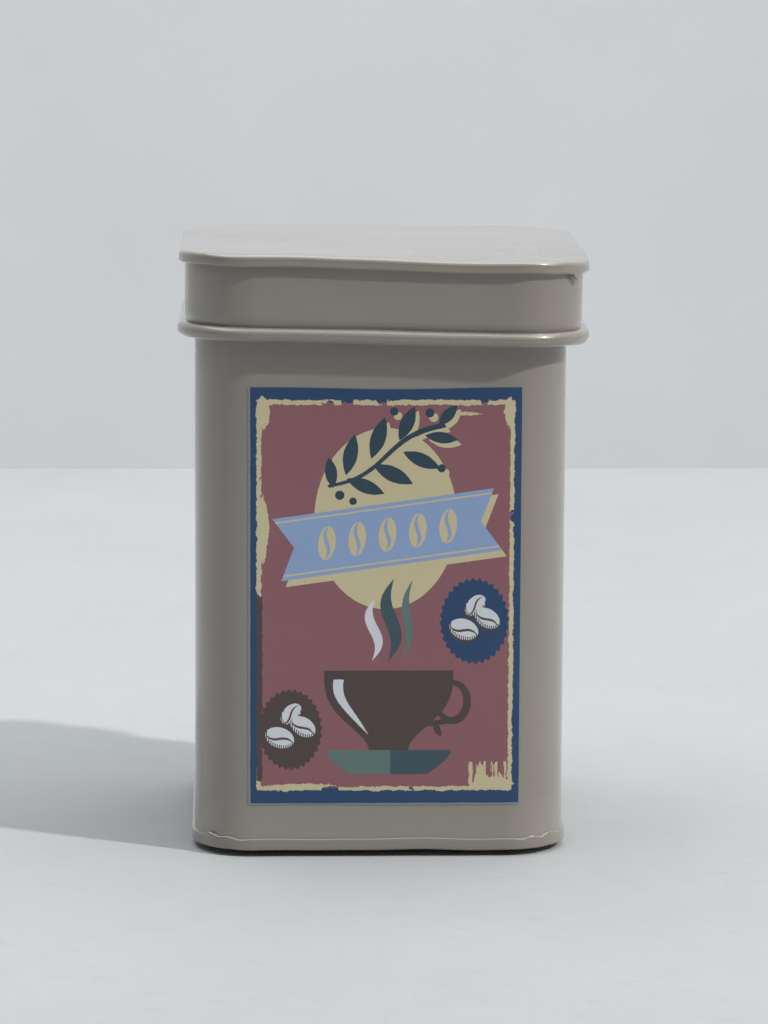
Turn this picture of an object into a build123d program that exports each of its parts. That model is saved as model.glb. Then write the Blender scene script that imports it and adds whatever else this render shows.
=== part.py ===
from build123d import *
import os

# Square kitchen tin with a lift-off slip lid, hand-folded from enamelled sheet steel.
# Millimetres, +Z up, origin at the middle of the footprint, front face towards -Y.
# Every wall is one bent strip of sheet, so each is drawn as a section across the wall:
# x is the distance out from the body's outer face, and y is the height above the table.

# Overall sizes
TOTAL_HEIGHT = 160.0
BODY_HALF = 49.6            # from the middle of the tin to the body's outer face
CORNER_RADIUS = 15.9        # body's outer face; every other ring shares its corner centres
CORNER_CENTRE = BODY_HALF - CORNER_RADIUS
SHEET = 0.4                 # steel with its enamel
HALF_SHEET = SHEET / 2
FOLD_GAP = 0.05             # air left between two sheets that are folded together

# Body: folded hem at the foot, rolled rim at the mouth
LID_REST_GAP = 0.3          # between the body's rim and the underside of the lid
BODY_CURL_RADIUS = 0.8      # outside of the rolled rim
BODY_WIRE_RADIUS = 0.38
BODY_TOP = TOTAL_HEIGHT - SHEET - LID_REST_GAP
HEM_TOP = 4.2

# Base: a shallow pan crimped up over the body's hem, standing on a pressed ring set in from the edge
CRIMP_TOP = 4.9
CRIMP_OUT = 0.9             # how far the crimp stands proud of the body
CRIMP_BOTTOM = 1.7          # the crimp's lower edge hangs clear of the table
HEM_BOTTOM = CRIMP_BOTTOM + SHEET + FOLD_GAP
FOOT_RING_IN = 4.0          # where the base starts to step down to the ring
FOOT_RING_STEP = 1.2
FOOT_RING_WIDTH = 2.0       # flat part that touches the table
BASE_RISE = 1.0             # panel's underside above the table

# Lid: band, folded rim at the top, wired bead at the bottom
BAND_OUT = 3.4
NECK_OUT = 2.35             # band's outer face where it tucks in above the bead
NECK_Z = 141.2
TAPER_TOP = 145.0           # the band is straight above here
BEAD_OUT = 5.4
BEAD_RADIUS = 1.9
BEAD_BOTTOM = 137.2
LID_WIRE_RADIUS = 1.47
RIM_OUT = 5.1
RIM_HEIGHT = 3.2
RIM_RADIUS = 1.3

# Vertical lock seams where each wall's two ends are hooked together, at the back
SEAM_THICKNESS = 0.6
BODY_SEAM_WIDTH = 5.0
LID_SEAM_WIDTH = 4.0

# Label glued to the front face
LABEL_WIDTH = 72.0
LABEL_CENTRE_X = 0.75
LABEL_BOTTOM = 14.3
LABEL_TOP = 126.3
LABEL_THICKNESS = 0.15


def rounded_square(outset, bottom, height):
    """A flat plate whose edge is outset from the body's outer face."""
    side = 2 * (BODY_HALF + outset)
    outline = RectangleRounded(side, side, CORNER_RADIUS + outset)
    return Pos(0, 0, bottom) * extrude(outline, height)


def ring(section):
    """Run a wall section round the tin: four straight sides and four quarter-turn corners."""
    upright = Plane.XZ * Pos(CORNER_RADIUS, 0) * section
    corner = Pos(CORNER_CENTRE, CORNER_CENTRE) * revolve(upright, Axis.Z, 90)
    side = Pos(CORNER_CENTRE, -CORNER_CENTRE) * extrude(upright, 2 * CORNER_CENTRE, dir=(0, 1, 0))
    quarter = corner + side
    return Part() + [Rot(0, 0, 90 * turn) * quarter for turn in range(4)]


def sheet_section(centre_line):
    """Give a bent centre line the thickness of the sheet."""
    return trace(centre_line, line_width=SHEET)


def wire_ring(outset, height, radius):
    """A round wire bent round the tin at a given height."""
    return ring(Pos(outset, height) * Circle(radius))


def body_curl_centre():
    return BODY_CURL_RADIUS - SHEET, BODY_TOP - BODY_CURL_RADIUS


def bead_centre():
    return BEAD_OUT - BEAD_RADIUS, BEAD_BOTTOM + BEAD_RADIUS


def back_seam(width, outset, bottom, top):
    """The flattened lock seam: a low rounded strip up the middle of the back."""
    strip = Pos(0, BODY_HALF + outset, (bottom + top) / 2) * Box(width, 2 * SEAM_THICKNESS, top - bottom)
    outer_edges = strip.edges().filter_by(Axis.Z).group_by(Axis.Y)[-1]
    return fillet(outer_edges, SEAM_THICKNESS * 0.7)


def body_wall():
    """One sheet bent round the tin: hem folded up at the foot, mouth rolled out over a wire."""
    curl_x, curl_z = body_curl_centre()
    middle = -HALF_SHEET
    hem_x = HALF_SHEET + FOLD_GAP
    fold = FilletPolyline(
        (hem_x, HEM_TOP),
        (hem_x, HEM_BOTTOM + HALF_SHEET),
        (middle, HEM_BOTTOM + HALF_SHEET),
        (middle, curl_z),
        radius=HALF_SHEET + FOLD_GAP / 2.5,
    )
    curl = CenterArc((curl_x, curl_z), BODY_CURL_RADIUS - HALF_SHEET, 180, -280)
    wall = ring(sheet_section(fold + curl))
    seam_top = curl_z - BODY_CURL_RADIUS - 1
    seam = back_seam(BODY_SEAM_WIDTH, 0, CRIMP_TOP + FOLD_GAP, seam_top)
    return wall + (seam - rounded_square(-HALF_SHEET, 0, TOTAL_HEIGHT))


def body_rim_wire():
    """The wire that stiffens the mouth, hidden inside the rolled rim."""
    curl_x, curl_z = body_curl_centre()
    return wire_ring(curl_x, curl_z, BODY_WIRE_RADIUS)


def base_panel():
    """A stamped pan: wall crimped over the body's hem, a standing ring, and a raised panel."""
    leg = CRIMP_OUT - HALF_SHEET
    edge_z = CRIMP_BOTTOM + HALF_SHEET
    panel_z = BASE_RISE + HALF_SHEET
    ring_outer = -FOOT_RING_IN - FOOT_RING_STEP
    ring_inner = ring_outer - FOOT_RING_WIDTH
    panel_edge = ring_inner - BASE_RISE
    profile = FilletPolyline(
        (FOLD_GAP, CRIMP_TOP - HALF_SHEET),
        (leg, CRIMP_TOP - HALF_SHEET),
        (leg, edge_z),
        (-FOOT_RING_IN, edge_z),
        (ring_outer, HALF_SHEET),
        (ring_inner, HALF_SHEET),
        (panel_edge, panel_z),
        (panel_edge - 2, panel_z),
        radius=[0.3, 0.3, 0.5, 0.5, 0.35, 0.35],
    )
    pan = ring(sheet_section(profile))
    return pan + rounded_square(panel_edge - 1, BASE_RISE, SHEET)


def lid_top_panel():
    """The flat top: its edge rolls down as the rim and is tucked in under the band's flange."""
    panel_z = TOTAL_HEIGHT - HALF_SHEET
    leg = RIM_OUT - HALF_SHEET
    tuck_z = TOTAL_HEIGHT - RIM_HEIGHT + HALF_SHEET
    profile = FilletPolyline(
        (-2, panel_z),
        (leg, panel_z),
        (leg, tuck_z),
        (BAND_OUT + FOLD_GAP, tuck_z),
        radius=[RIM_RADIUS - HALF_SHEET, 0.5],
    )
    return ring(sheet_section(profile)) + rounded_square(-1, TOTAL_HEIGHT - SHEET, SHEET)


def lid_band():
    """The lid's wall: hooked flange at the top, slight taper, and a bead rolled round a wire."""
    bead_x, bead_z = bead_centre()
    roll = BEAD_RADIUS - HALF_SHEET
    flange_z = TOTAL_HEIGHT - SHEET - FOLD_GAP - HALF_SHEET
    hook_x = RIM_OUT - SHEET - FOLD_GAP - HALF_SHEET
    band_x = BAND_OUT - HALF_SHEET
    wall = FilletPolyline(
        (hook_x, flange_z - 1.4),
        (hook_x, flange_z),
        (band_x, flange_z),
        (band_x, TAPER_TOP),
        (NECK_OUT - HALF_SHEET, NECK_Z),
        (bead_x - roll, bead_z),
        radius=[0.65, 0.35, 3.0, 3.0],
    )
    bead = CenterArc((bead_x, bead_z), roll, 180, 305)
    band = ring(sheet_section(wall + bead))
    seam = back_seam(LID_SEAM_WIDTH, BAND_OUT, TAPER_TOP, TOTAL_HEIGHT - RIM_HEIGHT - FOLD_GAP)
    return band + (seam - rounded_square(BAND_OUT - HALF_SHEET, 0, TOTAL_HEIGHT))


def lid_bead_wire():
    """The wire inside the lid's bead."""
    bead_x, bead_z = bead_centre()
    return wire_ring(bead_x, bead_z, LID_WIRE_RADIUS)


def label():
    """A thin printed sheet on the front face; its edges just follow the wall into the corners."""
    height = LABEL_TOP - LABEL_BOTTOM
    skin = ring(Pos(LABEL_THICKNESS / 2, LABEL_BOTTOM + height / 2) * Rectangle(LABEL_THICKNESS, height))
    window = Pos(LABEL_CENTRE_X, -BODY_HALF, LABEL_BOTTOM + height / 2) * Box(LABEL_WIDTH, 20, height + 2)
    return skin & window


PIECES = {
    "body_wall": body_wall,
    "body_rim_wire": body_rim_wire,
    "base_panel": base_panel,
    "label": label,
    "lid_top_panel": lid_top_panel,
    "lid_band": lid_band,
    "lid_bead_wire": lid_bead_wire,
}

os.makedirs("parts", exist_ok=True)
for name, make_piece in PIECES.items():
    export_step(make_piece(), f"parts/{name}.step")
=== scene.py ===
import math

import bmesh
import bpy
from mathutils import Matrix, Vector


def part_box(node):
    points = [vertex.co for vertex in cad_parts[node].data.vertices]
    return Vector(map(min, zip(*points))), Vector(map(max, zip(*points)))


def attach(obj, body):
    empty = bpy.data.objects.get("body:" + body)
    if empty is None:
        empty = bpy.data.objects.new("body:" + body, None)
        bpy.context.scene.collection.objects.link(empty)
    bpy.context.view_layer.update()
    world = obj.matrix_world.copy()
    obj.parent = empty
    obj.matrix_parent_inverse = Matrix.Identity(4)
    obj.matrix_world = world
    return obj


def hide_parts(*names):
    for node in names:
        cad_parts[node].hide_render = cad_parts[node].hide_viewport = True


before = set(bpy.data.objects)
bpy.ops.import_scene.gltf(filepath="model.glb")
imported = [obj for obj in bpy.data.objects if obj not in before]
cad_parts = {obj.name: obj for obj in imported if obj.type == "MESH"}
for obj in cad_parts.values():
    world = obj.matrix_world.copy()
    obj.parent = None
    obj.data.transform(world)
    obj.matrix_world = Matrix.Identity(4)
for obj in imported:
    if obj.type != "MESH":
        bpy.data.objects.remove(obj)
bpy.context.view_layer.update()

# ---------------------------------------------------------------------------------------------
# Body wall. One strip of enamelled sheet steel bent round into a square with rounded corners,
# its mouth rolled outwards over a wire and its foot held in the base's crimp.

MM = 0.001
SHEET = 0.4 * MM
LABEL_SHEET = 0.15 * MM
BODY_HALF = -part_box("label")[0].y - LABEL_SHEET
CORNER_RADIUS = 15.9 * MM
CORNER_CENTRE = BODY_HALF - CORNER_RADIUS
SIDE_STEPS = 36
CORNER_STEPS = 18
SMOOTH_ANGLE = 35
BODY_CURL_RADIUS = 0.8 * MM
BODY_CURL_DROP = 0.3 * MM
BODY_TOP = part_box("body_wall")[1].z
ENAMEL_COLOUR = (0.258, 0.234, 0.202, 1)
ENAMEL_SHADE = (0.240, 0.217, 0.186, 1)
THIN_ENAMEL_AND_EDGE_HIGHLIGHT = (0.50, 0.46, 0.41, 1)
DUST_COLOUR = (0.6, 0.59, 0.56, 1)
DUST_LEVEL = 0.79
PEEL_SCALE = 260.0


def start_point(name):
    """Begin a piece as a small plane gathered into one point, and stay in edit mode."""
    bpy.ops.object.select_all(action="DESELECT")
    bpy.ops.mesh.primitive_plane_add(size=MM)
    piece = bpy.context.object
    piece.name = name
    piece.data.name = name
    bpy.ops.object.mode_set(mode="EDIT")
    bpy.ops.mesh.merge(type="CENTER")
    return piece


def pick_points(piece, wanted):
    """Select the points whose place passes the test, and the edges and faces between them."""
    bpy.ops.mesh.select_all(action="DESELECT")
    mesh = bmesh.from_edit_mesh(piece.data)
    for point in mesh.verts:
        point.select = wanted(point.co)
    mesh.select_flush_mode()
    bmesh.update_edit_mesh(piece.data)


def near(place, reach=2e-5):
    return lambda point: (point - place).length < reach


def out_from_face(point):
    """How far out from the body's face a point lies, in millimetres, round the corners too."""
    across = max(abs(point.x) - CORNER_CENTRE, 0)
    along = max(abs(point.y) - CORNER_CENTRE, 0)
    return (math.hypot(across, along) - CORNER_RADIUS) / MM


def draw_section(name, corners):
    """Draw a sheet's section at the middle of the back, then round its corners.

    Each corner is (distance out from the body's face, height, radius), in millimetres.
    """
    piece = start_point(name)
    places = [Vector((0, BODY_HALF + out * MM, height * MM)) for out, height, _ in corners]
    bpy.ops.transform.translate(value=places[0])
    for before, after in zip(places, places[1:]):
        bpy.ops.mesh.extrude_region_move(TRANSFORM_OT_translate={"value": after - before})
    for before, here, after, corner in zip(places, places[1:], places[2:], corners[1:]):
        if corner[2] == 0:
            continue
        turn = (here - before).angle(after - here)
        pick_points(piece, near(here))
        bpy.ops.mesh.bevel(
            offset=corner[2] * MM * math.tan(turn / 2), offset_type="OFFSET",
            segments=max(3, round(turn * 5)), affect="VERTICES",
        )
    pick_points(piece, near(places[-1]))
    return piece


def roll_edge(out, height, turn, steps):
    """Carry the section's last point round a centre, as a sheet's edge is rolled over a wire."""
    centre = (0, BODY_HALF + out * MM, height * MM)
    bpy.ops.mesh.spin(steps=steps, angle=math.radians(turn), center=centre, axis=(1, 0, 0))


def carry_round(piece, out, height, facing):
    """Carry the section round the tin, along each side and through each corner, and close it.

    The face nearest (out, height) at the back ends up looking along facing, away from the metal.
    """
    bpy.ops.mesh.select_all(action="SELECT")
    half_side = SIDE_STEPS // 2
    stretches = [half_side, SIDE_STEPS, SIDE_STEPS, SIDE_STEPS, half_side]
    along = Vector((-2 * CORNER_CENTRE / SIDE_STEPS, 0, 0))
    corner = Vector((-CORNER_CENTRE, CORNER_CENTRE, 0))
    for number, steps in enumerate(stretches):
        for _ in range(steps):
            bpy.ops.mesh.extrude_region_move(TRANSFORM_OT_translate={"value": along})
        if number < 4:
            bpy.ops.mesh.spin(steps=CORNER_STEPS, angle=-math.pi / 2, center=corner, axis=(0, 0, 1))
            along = Vector((-along.y, along.x, 0))
            corner = Vector((-corner.y, corner.x, 0))
    bpy.ops.mesh.select_all(action="SELECT")
    bpy.ops.mesh.remove_doubles(threshold=2e-6)
    bpy.ops.mesh.normals_make_consistent(inside=False)
    place = Vector((0, BODY_HALF + out * MM, height * MM))
    faces = bmesh.from_edit_mesh(piece.data).faces
    nearest = min(faces, key=lambda face: (face.calc_center_median() - place).length)
    if nearest.normal.dot(Vector(facing)) < 0:
        bpy.ops.mesh.flip_normals()


def push(piece, place, move, reach, falloff="SMOOTH"):
    """Press or pull one spot of the sheet by hand, the metal round it following."""
    mesh = bmesh.from_edit_mesh(piece.data)
    target = Vector(place) * MM
    nearest = min((point.co for point in mesh.verts), key=lambda spot: (spot - target).length)
    pick_points(piece, near(nearest.copy(), 1e-6))
    bpy.ops.transform.translate(
        value=Vector(move) * MM, use_proportional_edit=True,
        proportional_edit_falloff=falloff, proportional_size=reach * MM,
    )


def apply_modifier(piece, kind, **settings):
    modifier = piece.modifiers.new(kind.title(), kind)
    for name, value in settings.items():
        setattr(modifier, name, value)
    bpy.ops.object.modifier_apply(modifier=modifier.name)


def finish_sheet(piece):
    """Give the sheet its thickness behind the drawn face, and smooth it."""
    bpy.ops.object.mode_set(mode="OBJECT")
    apply_modifier(piece, "SOLIDIFY", thickness=SHEET, offset=-1, use_even_offset=False)
    bpy.ops.object.shade_smooth_by_angle(angle=math.radians(SMOOTH_ANGLE))


def add_node(tree, kind, **settings):
    """Add a shader node. Settings that name an input set or link it; the others set the node."""
    node = tree.nodes.new("ShaderNode" + kind)
    inputs = {socket.name.replace(" ", "_"): socket for socket in reversed(node.inputs)}
    for name, value in settings.items():
        if name not in inputs:
            setattr(node, name, value)
        elif isinstance(value, bpy.types.NodeSocket):
            tree.links.new(value, inputs[name])
        else:
            inputs[name].default_value = value
    return node


def new_group(name, inputs, outputs):
    """Start a shader node group with named inputs (name: default) and float outputs."""
    tree = bpy.data.node_groups.new(name, "ShaderNodeTree")
    for label, default in inputs.items():
        kind = "NodeSocketVector" if default is None else "NodeSocketFloat"
        socket = tree.interface.new_socket(name=label, in_out="INPUT", socket_type=kind)
        if default is not None:
            socket.default_value = default
    for label in outputs:
        tree.interface.new_socket(name=label, in_out="OUTPUT", socket_type="NodeSocketFloat")
    return tree, tree.nodes.new("NodeGroupInput").outputs, tree.nodes.new("NodeGroupOutput").inputs


def use_group(tree, group, **settings):
    node = tree.nodes.new("ShaderNodeGroup")
    node.node_tree = group
    for name, value in settings.items():
        socket = node.inputs[name.replace("_", " ")]
        if isinstance(value, bpy.types.NodeSocket):
            tree.links.new(value, socket)
        else:
            socket.default_value = value
    return node.outputs


def calculate(tree, operation, *values):
    """A Math node on sockets or plain numbers."""
    node = tree.nodes.new("ShaderNodeMath")
    node.operation = operation
    for socket, value in zip(node.inputs, values):
        if isinstance(value, bpy.types.NodeSocket):
            tree.links.new(value, socket)
        else:
            socket.default_value = value
    return node.outputs[0]


def blend_colour(tree, factor, under, over):
    node = tree.nodes.new("ShaderNodeMix")
    node.data_type = "RGBA"
    for socket, value in zip((node.inputs[0], node.inputs[6], node.inputs[7]), (factor, under, over)):
        if isinstance(value, bpy.types.NodeSocket):
            tree.links.new(value, socket)
        else:
            socket.default_value = value
    return node.outputs[2]


def handling_marks():
    """Marks of making and use: cloudy gloss, fine dust, and the orange-peel skin of the coat."""
    tree, inputs, outputs = new_group("Handling marks", {"Vector": None}, ["Cloud", "Dust", "Peel"])
    cloud = add_node(tree, "TexNoise", Vector=inputs["Vector"], Scale=42.0, Detail=4.0)
    tree.links.new(cloud.outputs["Fac"], outputs["Cloud"])
    grain = add_node(tree, "TexNoise", Vector=inputs["Vector"], Scale=1700.0, Detail=2.0)
    dust = calculate(tree, "GREATER_THAN", grain.outputs["Fac"], DUST_LEVEL)
    tree.links.new(dust, outputs["Dust"])
    peel = add_node(tree, "TexNoise", Vector=inputs["Vector"], Scale=PEEL_SCALE, Detail=1.0)
    tree.links.new(peel.outputs["Fac"], outputs["Peel"])
    return tree


def new_material(name, **surface):
    material = bpy.data.materials.new(name)
    material.use_nodes = True
    tree = material.node_tree
    shader = tree.nodes["Principled BSDF"]
    for label, value in surface.items():
        shader.inputs[label.replace("_", " ")].default_value = value
    return material, tree, shader.inputs


def enamel_material(marks):
    """Glossy warm-grey enamel: thick in the hollows, thin over the folds, faintly cloudy. The sharp
    convex folds are lightened in colour, partly for the thin enamel there and partly as a painted edge
    highlight.
    """
    material, tree, shader = new_material("warm_grey_enamel", IOR=1.5, Coat_Weight=1.0, Coat_IOR=1.58)
    place = add_node(tree, "TexCoord").outputs["Object"]
    found = use_group(tree, marks, Vector=place)
    # Sharp convex folds are painted lighter: partly thin enamel over the folds, partly a painted edge
    # highlight.
    fold = add_node(tree, "NewGeometry").outputs["Pointiness"]
    edge_highlight_mask = add_node(tree, "MapRange", Value=fold, From_Min=0.52, From_Max=0.62).outputs[0]
    colour = blend_colour(tree, found["Cloud"], ENAMEL_SHADE, ENAMEL_COLOUR)
    edge_highlight_amount = calculate(tree, "MULTIPLY", edge_highlight_mask, 0.25)
    colour = blend_colour(tree, edge_highlight_amount, colour, THIN_ENAMEL_AND_EDGE_HIGHLIGHT)
    speck = calculate(tree, "MULTIPLY", found["Dust"], 0.10)
    tree.links.new(blend_colour(tree, speck, colour, DUST_COLOUR), shader["Base Color"])
    gloss = add_node(tree, "MapRange", Value=found["Cloud"], To_Min=0.29, To_Max=0.38).outputs[0]
    tree.links.new(gloss, shader["Roughness"])
    sheen = add_node(tree, "MapRange", Value=found["Cloud"], To_Min=0.07, To_Max=0.11).outputs[0]
    sheen = calculate(tree, "ADD", sheen, calculate(tree, "MULTIPLY", found["Dust"], 0.15))
    tree.links.new(sheen, shader["Coat Roughness"])
    bump = add_node(tree, "Bump", Strength=0.05, Distance=0.00004, Height=found["Peel"])
    tree.links.new(bump.outputs["Normal"], shader["Normal"])
    tree.links.new(bump.outputs["Normal"], shader["Coat Normal"])
    return material


marks = handling_marks()
enamel = enamel_material(marks)

curl_out = (BODY_CURL_RADIUS - SHEET) / MM
curl_z = (BODY_TOP - BODY_CURL_RADIUS - BODY_CURL_DROP) / MM
body = draw_section("body_sheet", [(-0.15, 2.3, 0), (-0.4, 16, 60), (-0.4, curl_z, 0)])
pick_points(body, lambda point: point.z > 10 * MM)
bpy.ops.mesh.subdivide(number_cuts=40)
pick_points(body, near(Vector((0, BODY_HALF - SHEET, curl_z * MM))))
roll_edge(curl_out, curl_z, 280, 18)
carry_round(body, -0.4, 80, (0, -1, 0))
push(body, (2, -49.9, 126), (0, -0.7, 0), 44)
push(body, (-49.9, 6, 86), (0.35, 0, 0), 26)
push(body, (5, 49.9, 70), (0, -0.5, 0), 36)
finish_sheet(body)
body.data.materials.append(enamel)
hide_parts("body_wall")
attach(body, "tin")


# ---------------------------------------------------------------------------------------------
# Mouth wire. Round steel wire shut inside the rolled mouth, where only the roll's end lets a
# little of it be seen. It is the CAD's own piece.

WIRE_SHADE = (0.36, 0.35, 0.34, 1)
WIRE_COLOUR = (0.56, 0.55, 0.53, 1)

wire_steel, tree, shader = new_material("drawn_wire", Metallic=1.0, Roughness=0.32)
place = add_node(tree, "TexCoord").outputs["Object"]
found = use_group(tree, marks, Vector=place)
bright = blend_colour(tree, found["Cloud"], WIRE_SHADE, WIRE_COLOUR)
tree.links.new(bright, shader["Base Color"])
draw_lines = add_node(tree, "TexNoise", Vector=place, Scale=2600.0, Detail=2.0)
bump = add_node(tree, "Bump", Strength=0.2, Distance=0.00002, Height=draw_lines.outputs["Fac"])
tree.links.new(bump.outputs["Normal"], shader["Normal"])

mouth_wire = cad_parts["body_rim_wire"]
for holder in mouth_wire.material_slots:
    holder.material = wire_steel


# ---------------------------------------------------------------------------------------------
# Side seam. The two ends of the body sheet are hooked together and hammered flat down the
# middle of the back, then enamelled over.

SEAM_THICKNESS = 0.6
SEAM_EDGE = 0.38


def seam_strip(name, width, thickness, out, bottom, top, body_name):
    """A flattened lock seam: a long low bar with softened edges, standing on the sheet."""
    bpy.ops.object.select_all(action="DESELECT")
    bpy.ops.mesh.primitive_cube_add(size=1)
    seam = bpy.context.object
    seam.name = name
    bpy.ops.object.mode_set(mode="EDIT")
    bpy.ops.transform.resize(value=(width * MM, thickness * MM, (top - bottom) * MM))
    middle = (0, BODY_HALF + (out + thickness / 2) * MM, (top + bottom) / 2 * MM)
    bpy.ops.transform.translate(value=middle)
    bpy.ops.mesh.bevel(offset=thickness * SEAM_EDGE * MM, segments=3, affect="EDGES")
    bpy.ops.object.mode_set(mode="OBJECT")
    bpy.ops.object.shade_smooth_by_angle(angle=math.radians(40))
    seam.data.materials.append(enamel)
    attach(seam, body_name)
    return seam


seam_strip(
    "body_side_seam", width=5, thickness=SEAM_THICKNESS, out=-0.06, bottom=5.1, top=156.9, body_name="tin"
)


# ---------------------------------------------------------------------------------------------
# Base. A shallow pan pressed from sheet, crimped round the foot of the body, with a standing
# ring set in from the edge that leaves a dark gap above the table.

BASE_PANEL_OUT = -8.2
BASE_RISE = 1.0


def fill_panel(piece, out, height, rings):
    """Close the panel inside its last loop with rings drawn in towards the middle."""
    def on_last_loop(point):
        return abs(point.z - height * MM) < 1e-5 and abs(out_from_face(point) - out) < 0.02

    pick_points(piece, on_last_loop)
    middle = (0, 0, height * MM)
    size = 1.0
    for ring in range(rings):
        smaller = (rings - ring - 0.5) / rings
        step = smaller / size
        bpy.ops.mesh.extrude_region_move()
        bpy.ops.transform.resize(value=(step, step, 1), center_override=middle)
        size = smaller
    bpy.ops.mesh.edge_face_add()


base = draw_section("base_pan", [
    (0.05, 4.9, 0), (0.9, 4.9, 0.42), (0.9, 1.7, 0.5), (-4, 1.7, 0.6), (-5.2, 0, 0.5),
    (-7.2, 0, 0.35), (BASE_PANEL_OUT, BASE_RISE, 0),
])
carry_round(base, 0.9, 3.3, (0, 1, 0))
fill_panel(base, BASE_PANEL_OUT, BASE_RISE, 10)

# Where the crimp was folded in at the front left corner, it lies in a step; at the right it
# is beaded with enamel.
push(base, (-46.6, -46.6, 4.9), (-0.35, -0.35, 1.1), 3.2)
push(base, (-41.5, -49.2, 4.9), (0, -0.1, 0.5), 4.5)
push(base, (-37.5, -50.5, 4.9), (0, 0, -0.35), 3.5)
push(base, (38, -50.4, 4.9), (0, -0.15, -0.35), 2.5)
push(base, (41, -49.6, 4.9), (0, -0.2, 0.5), 2.5)
push(base, (43.5, -48.6, 4.9), (0.1, -0.2, -0.3), 2.2)
push(base, (46.5, -46.5, 4.9), (0.2, -0.2, 0.9), 4.0)
push(base, (12, -50.5, 4.9), (0, 0, 0.3), 14)
push(base, (-18, -50.5, 4.9), (0, 0, -0.25), 12)
push(base, (-20, -50.5, 1.9), (0, 0, 0.2), 16)
push(base, (25, -50.5, 1.9), (0, 0, -0.15), 14)
finish_sheet(base)
base.data.materials.append(enamel)
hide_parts("base_panel")
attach(base, "tin")


# ---------------------------------------------------------------------------------------------
# Label. A printed sheet stuck to the middle of the front: a blue border, a brushed cream
# frame, a sun, a steaming cup on its saucer, two bean badges, a ribbon and a sprig.

LABEL_WIDTH = 72.2
LABEL_HEIGHT = 112.4
LABEL_MIDDLE = (0.75, 70.3)
PRINT_OFFSET = (0.35, 0.3)

label = start_point("front_label")
left_foot = (LABEL_MIDDLE[0] - LABEL_WIDTH / 2, 0, LABEL_MIDDLE[1] - LABEL_HEIGHT / 2)
bpy.ops.transform.translate(value=Vector(left_foot) * MM - Vector((0, BODY_HALF + 4 * MM, 0)))
bpy.ops.mesh.extrude_region_move(TRANSFORM_OT_translate={"value": (LABEL_WIDTH * MM, 0, 0)})
bpy.ops.mesh.select_all(action="SELECT")
bpy.ops.mesh.extrude_region_move(TRANSFORM_OT_translate={"value": (0, 0, LABEL_HEIGHT * MM)})
bpy.ops.mesh.select_all(action="SELECT")
bpy.ops.mesh.subdivide(number_cuts=40)
bpy.ops.mesh.normals_make_consistent(inside=False)
front_face = bmesh.from_edit_mesh(label.data).faces
front_face.ensure_lookup_table()
if front_face[0].normal.y > 0:
    bpy.ops.mesh.flip_normals()
push(label, (3, -53.6, 126.3), (0, 0, -0.45), 30)
push(label, (-20, -53.6, 14.3), (0, 0, 0.2), 22)
bpy.ops.object.mode_set(mode="OBJECT")
apply_modifier(
    label, "SHRINKWRAP", target=body, wrap_method="PROJECT", use_project_y=True,
    use_negative_direction=True, use_positive_direction=True, offset=0.02 * MM,
    wrap_mode="ABOVE_SURFACE",
)
apply_modifier(label, "SOLIDIFY", thickness=LABEL_SHEET, offset=1)
bpy.ops.object.shade_smooth_by_angle(angle=math.radians(35))


def local_place():
    """Turn a place on the label into a shape's own two directions."""
    tree, inputs, outputs = new_group(
        "Local place", {"Vector": None, "X": 0.0, "Y": 0.0, "Turn": 0.0}, ["U", "V"]
    )
    middle = add_node(tree, "CombineXYZ", X=inputs["X"], Y=inputs["Y"]).outputs[0]
    offset = tree.nodes.new("ShaderNodeVectorMath")
    offset.operation = "SUBTRACT"
    tree.links.new(inputs["Vector"], offset.inputs[0])
    tree.links.new(middle, offset.inputs[1])
    back = calculate(tree, "MULTIPLY", calculate(tree, "RADIANS", inputs["Turn"]), -1.0)
    turned = add_node(
        tree, "VectorRotate", rotation_type="Z_AXIS", Vector=offset.outputs[0], Angle=back
    )
    parts = add_node(tree, "SeparateXYZ", Vector=turned.outputs[0])
    tree.links.new(parts.outputs[0], outputs["U"])
    tree.links.new(parts.outputs[1], outputs["V"])
    return tree


def shape_group(name, sizes, locate):
    """Start a shape's group: its place and sizes come in, its own U and V are ready to use."""
    wanted = {"Vector": None, "X": 0.0, "Y": 0.0, "Turn": 0.0, **sizes}
    tree, inputs, outputs = new_group(name, wanted, ["Mask"])
    own = use_group(
        tree, locate, Vector=inputs["Vector"], X=inputs["X"], Y=inputs["Y"], Turn=inputs["Turn"]
    )
    return tree, inputs, outputs, own["U"], own["V"]


def ellipse_group(locate):
    """An ellipse, which can have a scalloped edge."""
    sizes = {"Width": 1.0, "Height": 1.0, "Teeth": 0.0, "Tooth": 0.0}
    tree, inputs, outputs, u, v = shape_group("Ellipse", sizes, locate)
    across = calculate(tree, "DIVIDE", u, inputs["Width"])
    up = calculate(tree, "DIVIDE", v, inputs["Height"])
    across_squared = calculate(tree, "POWER", across, 2.0)
    up_squared = calculate(tree, "POWER", up, 2.0)
    reach = calculate(tree, "SQRT", calculate(tree, "ADD", across_squared, up_squared))
    angle = calculate(tree, "MULTIPLY", calculate(tree, "ARCTAN2", up, across), inputs["Teeth"])
    edge = calculate(tree, "MULTIPLY_ADD", calculate(tree, "SINE", angle), inputs["Tooth"], 1.0)
    tree.links.new(calculate(tree, "LESS_THAN", reach, edge), outputs["Mask"])
    return tree


def leaf_group(locate):
    """A leaf, pointed at both ends."""
    tree, inputs, outputs, u, v = shape_group("Leaf", {"Width": 1.0, "Height": 1.0}, locate)
    along = calculate(tree, "POWER", calculate(tree, "DIVIDE", u, inputs["Width"]), 2.0)
    half = calculate(tree, "MULTIPLY", calculate(tree, "SUBTRACT", 1.0, along), inputs["Height"])
    inside = calculate(tree, "LESS_THAN", calculate(tree, "ABSOLUTE", v), half)
    tree.links.new(inside, outputs["Mask"])
    return tree


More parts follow.
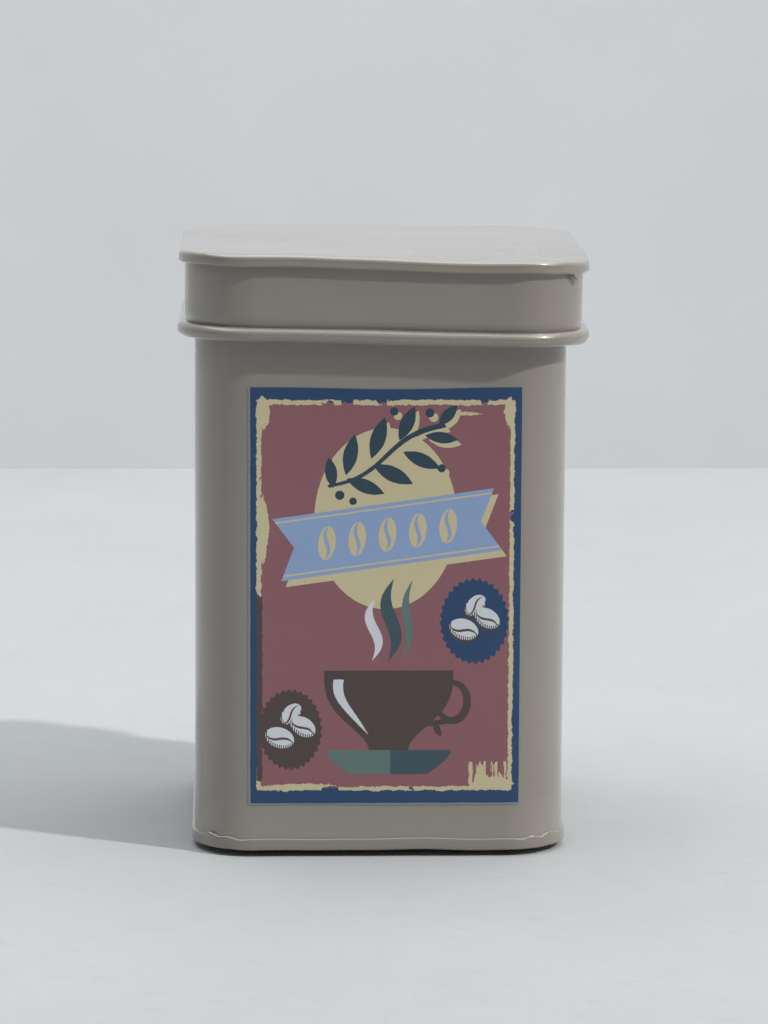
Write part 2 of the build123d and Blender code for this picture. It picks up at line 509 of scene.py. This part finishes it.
def bar_group(locate):
    """A bar, whose ends can be notched like a ribbon's."""
    sizes = {"Width": 1.0, "Height": 1.0, "Notch": 0.0}
    tree, inputs, outputs, u, v = shape_group("Bar", sizes, locate)
    up = calculate(tree, "DIVIDE", calculate(tree, "ABSOLUTE", v), inputs["Height"])
    cut = calculate(tree, "MULTIPLY", calculate(tree, "SUBTRACT", 1.0, up), inputs["Notch"])
    across = calculate(tree, "ADD", calculate(tree, "ABSOLUTE", u), cut)
    across = calculate(tree, "DIVIDE", across, inputs["Width"])
    inside = calculate(tree, "LESS_THAN", calculate(tree, "MAXIMUM", across, up), 1.0)
    tree.links.new(inside, outputs["Mask"])
    return tree


def standing_group(locate):
    """A shape that stands under its top: a cup, a saucer, a wisp of steam, a streak of light."""
    sizes = {
        "Depth": 1.0, "Foot": 0.0, "Flare": 1.0, "Power": 2.0, "Lean": 0.0, "Sway": 0.0, "Both": 0.0,
        "Waist": 0.0,
    }
    tree, inputs, outputs, u, v = shape_group("Standing shape", sizes, locate)
    down = calculate(tree, "DIVIDE", calculate(tree, "MULTIPLY", v, -1.0), inputs["Depth"])
    both = calculate(tree, "ABSOLUTE", calculate(tree, "MULTIPLY_ADD", down, 2.0, -1.0))
    chosen = calculate(tree, "MULTIPLY", calculate(tree, "SUBTRACT", both, down), inputs["Both"])
    chosen = calculate(tree, "ADD", chosen, down)
    bow = calculate(tree, "POWER", calculate(tree, "MAXIMUM", chosen, 0.0), inputs["Power"])
    curved = calculate(tree, "COSINE", calculate(tree, "MULTIPLY", bow, math.pi))
    curved = calculate(tree, "MULTIPLY_ADD", curved, -0.5, 0.5)
    waisted = calculate(tree, "MULTIPLY", calculate(tree, "SUBTRACT", curved, bow), inputs["Waist"])
    bow = calculate(tree, "ADD", bow, waisted)
    half = calculate(tree, "MULTIPLY", calculate(tree, "SUBTRACT", 1.0, bow), inputs["Flare"])
    half = calculate(tree, "ADD", half, inputs["Foot"])
    lean = calculate(tree, "MULTIPLY", calculate(tree, "MULTIPLY", down, down), inputs["Lean"])
    wave = calculate(tree, "SINE", calculate(tree, "MULTIPLY", down, 2 * math.pi))
    shift = calculate(tree, "SUBTRACT", lean, calculate(tree, "MULTIPLY", wave, inputs["Sway"]))
    off = calculate(tree, "ABSOLUTE", calculate(tree, "SUBTRACT", u, shift))
    inside = calculate(tree, "LESS_THAN", off, half)
    from_middle = calculate(tree, "ABSOLUTE", calculate(tree, "SUBTRACT", down, 0.5))
    within = calculate(tree, "LESS_THAN", from_middle, 0.5)
    tree.links.new(calculate(tree, "MULTIPLY", inside, within), outputs["Mask"])
    return tree


locate = local_place()
ellipse = ellipse_group(locate)
leaf = leaf_group(locate)
bar = bar_group(locate)
standing = standing_group(locate)


def gather(tree, masks):
    """Join masks into one."""
    joined = masks[0]
    for mask in masks[1:]:
        joined = calculate(tree, "MAXIMUM", joined, mask)
    return joined


def cut_away(tree, mask, other):
    """The part of a mask that lies outside the other one."""
    return calculate(tree, "MULTIPLY", mask, calculate(tree, "SUBTRACT", 1.0, other))


def bean_badge_group():
    """Three roasted beans lying together, engraved in dark line on pale."""
    tree, inputs, outputs = new_group("Beans", {"Vector": None, "X": 0.0, "Y": 0.0}, ["Pale", "Dark"])
    own = use_group(tree, locate, Vector=inputs["Vector"], X=inputs["X"], Y=inputs["Y"])
    here = add_node(tree, "CombineXYZ", X=own["U"], Y=own["V"]).outputs[0]
    hatch = add_node(tree, "TexWave", Vector=here, Scale=0.55, Distortion=1.2, Detail=0.0)
    scratch = calculate(tree, "LESS_THAN", hatch.outputs["Fac"], 0.45)
    pale = []
    dark = []
    for x, y, width, height, turn in (
        (0.1, 4.0, 3.6, 2.3, 50), (3.3, 0.5, 3.8, 2.8, -35), (-2.9, -2.5, 4.1, 3.1, -20),
    ):
        at = {"X": x, "Y": y, "Turn": turn, "Vector": here}
        whole = use_group(tree, ellipse, Width=width, Height=height, **at)["Mask"]
        lit = use_group(
            tree, ellipse, Vector=here, X=x + 0.15, Y=y + 0.45, Turn=turn,
            Width=width * 0.97, Height=height * 0.93,
        )["Mask"]
        slit = use_group(
            tree, standing, Vector=here, X=x - width * math.cos(math.radians(turn)),
            Y=y - width * math.sin(math.radians(turn)), Turn=turn + 90,
            Depth=width * 2, Flare=height * 0.12, Power=2.0, Sway=height * 0.22, Both=1.0,
        )["Mask"]
        core = use_group(
            tree, ellipse, Vector=here, X=x + 0.3, Y=y + 0.9, Turn=turn,
            Width=width * 0.9, Height=height * 0.8,
        )["Mask"]
        shaded = calculate(tree, "MULTIPLY", calculate(tree, "SUBTRACT", whole, core), scratch)
        line = gather(tree, [slit, shaded, calculate(tree, "SUBTRACT", whole, lit)])
        dark = [cut_away(tree, mark, whole) for mark in dark]
        dark.append(calculate(tree, "MULTIPLY", line, whole))
        pale.append(whole)
    tree.links.new(gather(tree, pale), outputs["Pale"])
    tree.links.new(gather(tree, dark), outputs["Dark"])
    return tree


def sprig_group():
    """A slanting sprig: a bowed stem, pairs of pointed leaves and round berries."""
    tree, inputs, outputs = new_group("Sprig", {"Vector": None}, ["Mask"])
    here = inputs["Vector"]
    stem = use_group(
        tree, standing, Vector=here, X=15.5, Y=46.0, Turn=-62, Depth=35.0, Foot=0.45,
        Flare=0.3, Power=1.0, Sway=1.6,
    )["Mask"]
    marks_found = [stem]
    for x, y, width, height, turn in (
        (-9.5, 38.0, 5.6, 1.9, 78), (-2.2, 42.5, 5.8, 2.0, 72), (5.4, 46.4, 5.0, 1.8, 66),
        (-5.5, 29.6, 5.4, 1.8, -22), (1.8, 32.8, 5.8, 2.0, -26), (9.3, 36.6, 5.4, 1.8, -24),
        (14.5, 42.6, 4.4, 1.5, -8), (16.2, 48.6, 3.6, 1.5, 48), (-14.6, 33.2, 4.2, 1.6, 98),
    ):
        found_leaf = use_group(
            tree, leaf, Vector=here, X=x, Y=y, Width=width, Height=height, Turn=turn
        )["Mask"]
        marks_found.append(found_leaf)
    for x, y, size in (
        (-12.3, 27.2, 1.25), (-8.8, 25.6, 1.0), (11.4, 49.2, 1.2), (2.0, 49.6, 1.1), (14.6, 34.4, 1.1),
    ):
        berry = use_group(tree, ellipse, Vector=here, X=x, Y=y, Width=size, Height=size)["Mask"]
        marks_found.append(berry)
    tree.links.new(gather(tree, marks_found), outputs["Mask"])
    return tree


INK_BLUE = (0.012, 0.055, 0.148, 1)
INK_ROSE = (0.260, 0.110, 0.128, 1)
INK_CREAM = (0.600, 0.530, 0.330, 1)
INK_PERIWINKLE = (0.270, 0.380, 0.620, 1)
INK_NAVY = (0.018, 0.052, 0.085, 1)
INK_BROWN = (0.072, 0.052, 0.050, 1)
INK_TEAL = (0.110, 0.190, 0.175, 1)
INK_SLATE = (0.042, 0.085, 0.110, 1)
INK_WHITE = (0.660, 0.700, 0.740, 1)
PAPER_RUBBED = (0.45, 0.44, 0.42, 1)
PRINT_FADED = (0.40, 0.38, 0.36, 1)
PRINT_DUST = (0.5, 0.5, 0.5, 1)

print_material, tree, shader = new_material("label_print", Roughness=0.4, Specular_IOR_Level=0.4)
object_place = add_node(tree, "TexCoord").outputs["Object"]
parts = add_node(tree, "SeparateXYZ", Vector=object_place)
across = calculate(tree, "MULTIPLY_ADD", parts.outputs[0], 1000.0, -LABEL_MIDDLE[0] - PRINT_OFFSET[0])
up = calculate(tree, "MULTIPLY_ADD", parts.outputs[2], 1000.0, -LABEL_MIDDLE[1] - PRINT_OFFSET[1])
flat = add_node(tree, "CombineXYZ", X=across, Y=up).outputs[0]


def frayed(tree, vector, scale, amount):
    """The place moved a little by noise, so that shapes painted with it have uneven edges."""
    noise = add_node(tree, "TexNoise", Vector=vector, Scale=scale, Detail=3.0)
    centred = add_node(tree, "VectorMath", operation="SUBTRACT")
    tree.links.new(noise.outputs["Color"], centred.inputs[0])
    centred.inputs[1].default_value = (0.5, 0.5, 0.5)
    moved = add_node(tree, "VectorMath", operation="MULTIPLY_ADD")
    tree.links.new(centred.outputs[0], moved.inputs[0])
    moved.inputs[1].default_value = (amount, amount, 0)
    tree.links.new(vector, moved.inputs[2])
    return moved.outputs[0]


def mask_of(group, **settings):
    """One shape of the print, as a mask on the label."""
    return use_group(tree, group, Vector=settings.pop("at", flat), **settings)["Mask"]


crisp = frayed(tree, flat, 1.1, 0.22)
torn = frayed(tree, frayed(tree, flat, 0.55, 1.3), 2.4, 0.9)
streaks = add_node(tree, "Mapping")
tree.links.new(flat, streaks.inputs["Vector"])
streaks.inputs["Scale"].default_value = (0.95, 0.16, 1)
dry = add_node(tree, "TexNoise", Vector=streaks.outputs[0], Scale=1.0, Detail=3.0).outputs["Fac"]
patchy = add_node(tree, "TexNoise", Vector=flat, Scale=0.16, Detail=3.0).outputs["Fac"]

outer = mask_of(bar, at=torn, X=-0.2, Y=0.0, Width=34.1, Height=52.6)
inner = mask_of(bar, at=torn, X=-0.1, Y=-0.1, Width=32.9, Height=51.4)
field = mask_of(bar, at=torn, X=-0.2, Y=0.0, Width=33.4, Height=51.9)
colour = blend_colour(tree, field, INK_BLUE, INK_ROSE)
worn = calculate(tree, "GREATER_THAN", patchy, 0.36)
brushed = calculate(tree, "MULTIPLY", calculate(tree, "SUBTRACT", outer, inner), worn)
gap_top = mask_of(bar, at=crisp, X=-10.4, Y=52.0, Width=1.6, Height=2.0)
gap_foot = mask_of(bar, at=crisp, X=-13.6, Y=-52.0, Width=1.2, Height=2.0)
brushed = calculate(tree, "SUBTRACT", brushed, gather(tree, [gap_top, gap_foot]))
extras = [
    mask_of(leaf, at=torn, X=-32.5, Y=18.0, Width=9.5, Height=1.5, Turn=90),
    mask_of(leaf, at=torn, X=-31.8, Y=16.5, Width=5.0, Height=0.35, Turn=88),
    mask_of(leaf, at=torn, X=-32.6, Y=49.2, Width=4.6, Height=1.9, Turn=93),
    mask_of(leaf, at=torn, X=32.5, Y=49.3, Width=4.4, Height=1.4, Turn=90),
    mask_of(leaf, at=torn, X=-22.0, Y=-51.3, Width=9.5, Height=0.5),
    mask_of(leaf, at=torn, X=29.0, Y=-50.9, Width=5.8, Height=1.9),
    mask_of(leaf, at=torn, X=20.8, Y=49.0, Width=4.6, Height=0.5),
]
tuft = mask_of(bar, at=torn, X=27.4, Y=-48.4, Width=5.0, Height=3.6)
tuft_floor = calculate(tree, "MULTIPLY_ADD", up, 0.026, 1.72)
tuft = calculate(tree, "MULTIPLY", tuft, calculate(tree, "GREATER_THAN", dry, tuft_floor))
brushed = gather(tree, [brushed, tuft] + extras)
bare_side = mask_of(bar, at=crisp, X=-33.0, Y=-23.0, Width=2.4, Height=23.0)
brushed = cut_away(tree, brushed, bare_side)
colour = blend_colour(tree, brushed, colour, INK_CREAM)
stain = mask_of(bar, at=torn, X=-33.5, Y=-25.0, Width=0.75, Height=25.0)
colour = blend_colour(tree, stain, colour, INK_BROWN)

sun = mask_of(ellipse, at=crisp, X=-0.1, Y=20.9, Width=18.9, Height=24.3)
colour = blend_colour(tree, sun, colour, INK_CREAM)

sprig = sprig_group()
sprig_shade = frayed(tree, flat, 1.1, 0.2)
lowered = add_node(tree, "VectorMath", operation="SUBTRACT")
tree.links.new(sprig_shade, lowered.inputs[0])
lowered.inputs[1].default_value = (1.0, -1.2, 0)
colour = blend_colour(tree, mask_of(sprig, at=lowered.outputs[0]), colour, INK_CREAM)
colour = blend_colour(tree, mask_of(sprig, at=crisp), colour, INK_NAVY)

ribbon_shape = {"Width": 29.6, "Height": 8.4, "Notch": 4.6, "Turn": 8}
ribbon_place = {"X": 0.4, "Y": 16.6}
shade = mask_of(bar, at=crisp, X=1.6, Y=15.0, **ribbon_shape)
colour = blend_colour(tree, shade, colour, INK_CREAM)
ribbon = mask_of(bar, at=crisp, **ribbon_place, **ribbon_shape)
colour = blend_colour(tree, ribbon, colour, INK_PERIWINKLE)
own = use_group(tree, locate, Vector=crisp, **ribbon_place, Turn=ribbon_shape["Turn"])
stripe_place = 7.2
stripe_half = 0.22
from_stripe = calculate(tree, "SUBTRACT", calculate(tree, "ABSOLUTE", own["V"]), stripe_place)
stripe = calculate(tree, "LESS_THAN", calculate(tree, "ABSOLUTE", from_stripe), stripe_half)
colour = blend_colour(tree, calculate(tree, "MULTIPLY", stripe, ribbon), colour, INK_CREAM)
half_spacing = 4.05
repeat = calculate(tree, "WRAP", own["U"], half_spacing, -half_spacing)
row = add_node(tree, "CombineXYZ", X=repeat, Y=own["V"]).outputs[0]
bean_row = mask_of(ellipse, at=row, Width=2.3, Height=4.6, Turn=-14)
bean_slit = mask_of(standing, at=row, Y=4.6, X=1.1, Turn=-14, Depth=9.4, Flare=0.55, Sway=0.7, Both=1.0)
bean_row = cut_away(tree, bean_row, bean_slit)
run = calculate(tree, "LESS_THAN", calculate(tree, "ABSOLUTE", own["U"]), 20.2)
colour = blend_colour(tree, calculate(tree, "MULTIPLY", bean_row, run), colour, INK_CREAM)

wisps = (
    (-2.7, -0.4, 17.0, 1.5, 1.5, -3, INK_WHITE), (2.2, 4.8, 22.5, 2.0, 1.7, -4, INK_SLATE),
    (7.2, 4.5, 21.6, 1.2, 1.1, -7.5, INK_TEAL),
)
for x, top, depth, half, sway, turn, ink in wisps:
    wisp = mask_of(
        standing, X=x, Y=top, Depth=depth, Flare=half, Power=1.6, Sway=sway, Both=1.0, Turn=turn
    )
    colour = blend_colour(tree, wisp, colour, ink)

cup = mask_of(
    standing, at=crisp, X=0.9, Y=-20.0, Depth=21.6, Foot=5.3, Flare=11.9, Power=1.65, Waist=1.0
)
handle = mask_of(ellipse, at=crisp, X=18.0, Y=-28.6, Width=4.9, Height=6.0)
hole = mask_of(ellipse, at=crisp, X=17.6, Y=-28.3, Width=3.2, Height=4.3)
curl = mask_of(leaf, at=crisp, X=13.9, Y=-36.0, Width=2.2, Height=0.9, Turn=-64)
spur = mask_of(bar, at=crisp, X=13.0, Y=-34.3, Width=3.4, Height=0.7, Turn=8)
grip = gather(tree, [calculate(tree, "SUBTRACT", handle, hole), curl, spur, cup])
colour = blend_colour(tree, grip, colour, INK_BROWN)
gleam = mask_of(
    standing, at=crisp, X=-12.4, Y=-22.4, Depth=15.0, Flare=1.35, Lean=8.0, Sway=0.45, Power=2.6
)
colour = blend_colour(tree, gleam, colour, INK_WHITE)

saucer = mask_of(standing, at=crisp, X=0.95, Y=-41.6, Depth=6.6, Foot=10.0, Flare=6.8, Power=1.6)
halves = calculate(tree, "GREATER_THAN", across, 1.4)
saucer_ink = blend_colour(tree, halves, INK_TEAL, INK_SLATE)
colour = blend_colour(tree, saucer, colour, saucer_ink)

beans = bean_badge_group()
badges = ((23.6, -6.7, 9.0, 11.3, INK_BLUE), (-25.3, -36.0, 8.3, 10.7, INK_BROWN))
for x, y, width, tall, ink in badges:
    badge = mask_of(ellipse, X=x, Y=y, Width=width, Height=tall, Teeth=32.0, Tooth=0.032)
    colour = blend_colour(tree, badge, colour, ink)
    lying = use_group(tree, beans, Vector=crisp, X=x, Y=y)
    colour = blend_colour(tree, lying["Pale"], colour, INK_WHITE)
    colour = blend_colour(tree, lying["Dark"], colour, INK_BROWN)

edge_side = calculate(tree, "SUBTRACT", LABEL_WIDTH / 2, calculate(tree, "ABSOLUTE", across))
edge_end = calculate(tree, "SUBTRACT", LABEL_HEIGHT / 2, calculate(tree, "ABSOLUTE", up))
to_edge = calculate(tree, "MINIMUM", edge_side, edge_end)
rubbed = calculate(tree, "LESS_THAN", to_edge, calculate(tree, "MULTIPLY", patchy, 0.36))
colour = blend_colour(tree, calculate(tree, "MULTIPLY", rubbed, 0.5), colour, PAPER_RUBBED)
found = use_group(tree, marks, Vector=object_place)
faded = calculate(tree, "MULTIPLY", found["Cloud"], 0.05)
colour = blend_colour(tree, faded, colour, PRINT_FADED)
colour = blend_colour(tree, calculate(tree, "MULTIPLY", found["Dust"], 0.10), colour, PRINT_DUST)
tree.links.new(colour, shader["Base Color"])
gloss = add_node(tree, "MapRange", Value=found["Cloud"], To_Min=0.34, To_Max=0.48).outputs[0]
tree.links.new(gloss, shader["Roughness"])
fibre = add_node(tree, "TexNoise", Vector=object_place, Scale=1500.0, Detail=3.0).outputs["Fac"]
bump = add_node(tree, "Bump", Strength=0.12, Distance=0.00003, Height=fibre)
tree.links.new(bump.outputs["Normal"], shader["Normal"])

label.data.materials.append(print_material)
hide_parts("label")
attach(label, "tin")


# ---------------------------------------------------------------------------------------------
# Lid band. A deep strip of the same sheet bent round a little larger than the body, necked in
# at its foot and rolled outwards into a round bead; its top edge is hooked into the lid's rim.

LID_SHIFT = (1.15, 0.0, 0.45)
LID_TURN = -0.7
LID_TILT = 0.35
LID_FRONT_UP = 0.5
BEAD_CENTRE = (3.5, 139.1)


def uneven(piece, amount, size):
    """Give the pressed sheet the slow unevenness of hand bending and thick enamel."""
    bpy.ops.object.mode_set(mode="OBJECT")
    clouds = bpy.data.textures.new(piece.name + "_unevenness", "CLOUDS")
    clouds.noise_scale = size * MM
    clouds.noise_depth = 1
    apply_modifier(piece, "DISPLACE", texture=clouds, strength=amount * MM, mid_level=0.5)
    bpy.ops.object.mode_set(mode="EDIT")


def seat_lid(piece, twist=True):
    """Set a lid piece as the lid really sits: twisted a little, turned, down on the right, aside."""
    bpy.ops.object.mode_set(mode="EDIT")
    bpy.ops.mesh.select_all(action="SELECT")
    foot = (0, 0, BEAD_CENTRE[1] * MM)
    if twist:
        push(piece, (-42, -50, 150), (0, 0, 0.6), 60)
        push(piece, (46, -50, 150), (0, 0, -0.5), 60)
        push(piece, (54, -40, 155), (0, 0, -0.9), 20)
        bpy.ops.mesh.select_all(action="SELECT")
    bpy.ops.transform.rotate(value=math.radians(-LID_TURN), orient_axis="Z", center_override=foot)
    bpy.ops.transform.rotate(value=math.radians(-LID_TILT), orient_axis="Y", center_override=foot)
    bpy.ops.transform.rotate(value=math.radians(LID_FRONT_UP), orient_axis="X", center_override=foot)
    bpy.ops.transform.translate(value=Vector(LID_SHIFT) * MM)
    bpy.ops.object.mode_set(mode="OBJECT")


band = draw_section("lid_band_sheet", [
    (4.65, 158.1, 0), (4.65, 159.5, 0.8), (3.0, 159.5, 0.5), (3.0, 143.2, 2), (2.45, 141.2, 2),
    (1.6, 139.1, 0),
])
band_face = BODY_HALF + 3.2 * MM
pick_points(band, lambda point: 143 * MM < point.z < 159.2 * MM and point.y < band_face)
bpy.ops.mesh.subdivide(number_cuts=8)
pick_points(band, near(Vector((0, BODY_HALF + 1.6 * MM, BEAD_CENTRE[1] * MM))))
roll_edge(*BEAD_CENTRE, -305, 30)
carry_round(band, 3.0, 150, (0, -1, 0))
uneven(band, 0.35, 26)
finish_sheet(band)
seat_lid(band)
band.data.materials.append(enamel)
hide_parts("lid_band")
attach(band, "lid")

band_seam = seam_strip(
    "lid_side_seam", width=4, thickness=SEAM_THICKNESS, out=3.3, bottom=142.4, top=156.4, body_name="lid"
)
bpy.context.view_layer.objects.active = band_seam
seat_lid(band_seam, twist=False)


# ---------------------------------------------------------------------------------------------
# Bead wire. Thick drawn wire round which the foot of the lid's band is rolled; it stiffens
# the lid's edge and shows only in the dark slot where the roll stops.

LID_WIRE_RADIUS = 1.42

wire = start_point("lid_bead_wire_round")
wire_inside = BODY_HALF + (BEAD_CENTRE[0] - LID_WIRE_RADIUS) * MM
bpy.ops.transform.translate(value=(0, wire_inside, BEAD_CENTRE[1] * MM))
roll_edge(*BEAD_CENTRE, 360, 16)
carry_round(wire, BEAD_CENTRE[0] + LID_WIRE_RADIUS, BEAD_CENTRE[1], (0, 1, 0))
bpy.ops.object.mode_set(mode="OBJECT")
bpy.ops.object.shade_smooth()
seat_lid(wire)
wire.data.materials.append(wire_steel)
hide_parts("lid_bead_wire")
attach(wire, "lid")


# ---------------------------------------------------------------------------------------------
# Lid top. A pressed panel with a softly rounded rim that is folded down and in over the
# band's top edge; enamel has gathered in a drip at the front right corner.

lid_top = draw_section("lid_top_cap", [
    (3.45, 156.8, 0), (5.1, 156.8, 0.7), (5.1, 160, 1.3), (-2, 160, 0),
])
carry_round(lid_top, 5.1, 157.9, (0, 1, 0))
fill_panel(lid_top, -2, 160, 12)
uneven(lid_top, 0.3, 30)
push(lid_top, (51.2, -45.2, 156.9), (0, 0, -2.3), 3.0, "SHARP")
push(lid_top, (43.5, -52.4, 156.9), (0, 0, -0.3), 6)
push(lid_top, (20, -54.5, 156.9), (0, 0, -0.35), 24)
push(lid_top, (-25, -54.5, 156.9), (0, 0, 0.25), 18)
push(lid_top, (-50, -49, 156.9), (0, 0, 0.2), 10)
finish_sheet(lid_top)
seat_lid(lid_top)
lid_top.data.materials.append(enamel)
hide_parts("lid_top_panel")
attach(lid_top, "lid")


# ---------------------------------------------------------------------------------------------
# Floor and wall. A smoothed plaster table top running back to a plaster wall, both painted
# the same pale cool grey; the wall lets light and sight through from behind.

FLOOR_DEPTH = 0.665
FLOOR_SHADE = (0.37, 0.385, 0.395, 1)
FLOOR_COLOUR = (0.44, 0.453, 0.46, 1)
FLOOR_RELIEF = 0.28
WALL_SHADE = (0.63, 0.642, 0.657, 1)
WALL_COLOUR = (0.71, 0.722, 0.737, 1)
WALL_RELIEF = 0.04


def plaster_group():
    """Trowelled plaster: slow cloudy tone, trowel waves and small pits."""
    tree, inputs, outputs = new_group("Plaster", {"Vector": None}, ["Tone", "Height"])
    here = inputs["Vector"]
    slow = add_node(tree, "TexNoise", Vector=here, Scale=7.0, Detail=5.0, Roughness=0.6)
    tree.links.new(slow.outputs["Fac"], outputs["Tone"])
    pits = add_node(tree, "TexNoise", Vector=here, Scale=130.0, Detail=6.0, Roughness=0.75)
    pitted = add_node(tree, "MapRange", Value=pits.outputs["Fac"], From_Min=0.30, From_Max=0.42)
    trowel = add_node(tree, "TexNoise", Vector=here, Scale=16.0, Detail=4.0)
    height = calculate(tree, "MULTIPLY_ADD", trowel.outputs["Fac"], 6.0, pitted.outputs[0])
    tree.links.new(height, outputs["Height"])
    return tree


plaster = plaster_group()


def painted_plaster(name, shade, colour, relief):
    """Plaster under a thin coat of matt paint."""
    material, tree, shader = new_material(name, Roughness=0.75)
    place = add_node(tree, "TexCoord").outputs["Object"]
    found = use_group(tree, plaster, Vector=place)
    tree.links.new(blend_colour(tree, found["Tone"], shade, colour), shader["Base Color"])
    bump = add_node(tree, "Bump", Strength=relief, Distance=0.0012, Height=found["Height"])
    tree.links.new(bump.outputs["Normal"], shader["Normal"])
    return material, tree


floor_paint, tree = painted_plaster("floor_plaster", FLOOR_SHADE, FLOOR_COLOUR, FLOOR_RELIEF)
wall_paint, tree = painted_plaster("wall_plaster", WALL_SHADE, WALL_COLOUR, WALL_RELIEF)
behind = add_node(tree, "NewGeometry").outputs["Backfacing"]
clear = add_node(tree, "BsdfTransparent")
chosen = add_node(tree, "MixShader")
tree.links.new(behind, chosen.inputs[0])
tree.links.new(tree.nodes["Principled BSDF"].outputs[0], chosen.inputs[1])
tree.links.new(clear.outputs[0], chosen.inputs[2])
tree.links.new(chosen.outputs[0], tree.nodes["Material Output"].inputs["Surface"])

bpy.ops.object.select_all(action="DESELECT")
bpy.ops.mesh.primitive_plane_add(size=10)
floor = bpy.context.object
floor.name = "floor"
floor.data.materials.append(floor_paint)
bpy.ops.mesh.primitive_plane_add(size=6, location=(0, FLOOR_DEPTH, 3), rotation=(math.pi / 2, 0, 0))
wall = bpy.context.object
wall.name = "back_wall"
wall.data.materials.append(wall_paint)


# ---------------------------------------------------------------------------------------------
# Light. A small strong lamp high to the right and in front, a broad soft box overhead, and
# soft light from behind and above; the side the tin faces is dark.

SKY_FRONT = (0.045, 0.040, 0.034, 1)
SKY_BACK = (0.93, 0.97, 1.0, 1)
TO_LIGHT = Vector((0.63, -0.34, 0.70))

scene = bpy.context.scene
scene.view_settings.view_transform = "Standard"
world = bpy.data.worlds.new("studio")
scene.world = world
world.use_nodes = True
tree = world.node_tree
heading = add_node(tree, "TexCoord").outputs["Generated"]
parts = add_node(tree, "SeparateXYZ", Vector=heading)
toward_back = add_node(tree, "MapRange", Value=parts.outputs[1], From_Min=-0.35, From_Max=0.5)
upward = add_node(tree, "MapRange", Value=parts.outputs[2], From_Min=0.33, From_Max=0.8)
open_part = calculate(tree, "MAXIMUM", toward_back.outputs[0], upward.outputs[0])
sky = tree.nodes["Background"].inputs
tree.links.new(blend_colour(tree, open_part, SKY_FRONT, SKY_BACK), sky["Color"])
sky["Strength"].default_value = 0.76

bpy.ops.object.light_add(type="SUN", rotation=TO_LIGHT.to_track_quat("Z", "Y").to_euler())
key = bpy.context.object
key.name = "key"
key.data.energy = 2.2
key.data.angle = 0.04
key.data.color = (1.0, 0.97, 0.93)

bpy.ops.object.light_add(type="AREA", location=(0, 0.2, 1.35))
softbox = bpy.context.object
softbox.name = "softbox"
softbox.data.shape = "RECTANGLE"
softbox.data.size = 1.8
softbox.data.size_y = 1.15
softbox.data.energy = 17
softbox.data.color = (0.96, 0.98, 1.0)


# ---------------------------------------------------------------------------------------------
# Camera. A long lens a little above the lid and just left of the middle, looking slightly
# down across the front.

LOOK_DOWN = 0.1557
LOOK_RIGHT = 0.0362
ROLL = 0.0047

bpy.ops.object.camera_add(location=(-0.0414, -1.1843, 0.2715))
camera = bpy.context.object
camera.name = "camera"
camera.rotation_euler = (math.pi / 2 - LOOK_DOWN, -ROLL, -LOOK_RIGHT)
camera.data.lens = 152.75
scene.camera = camera
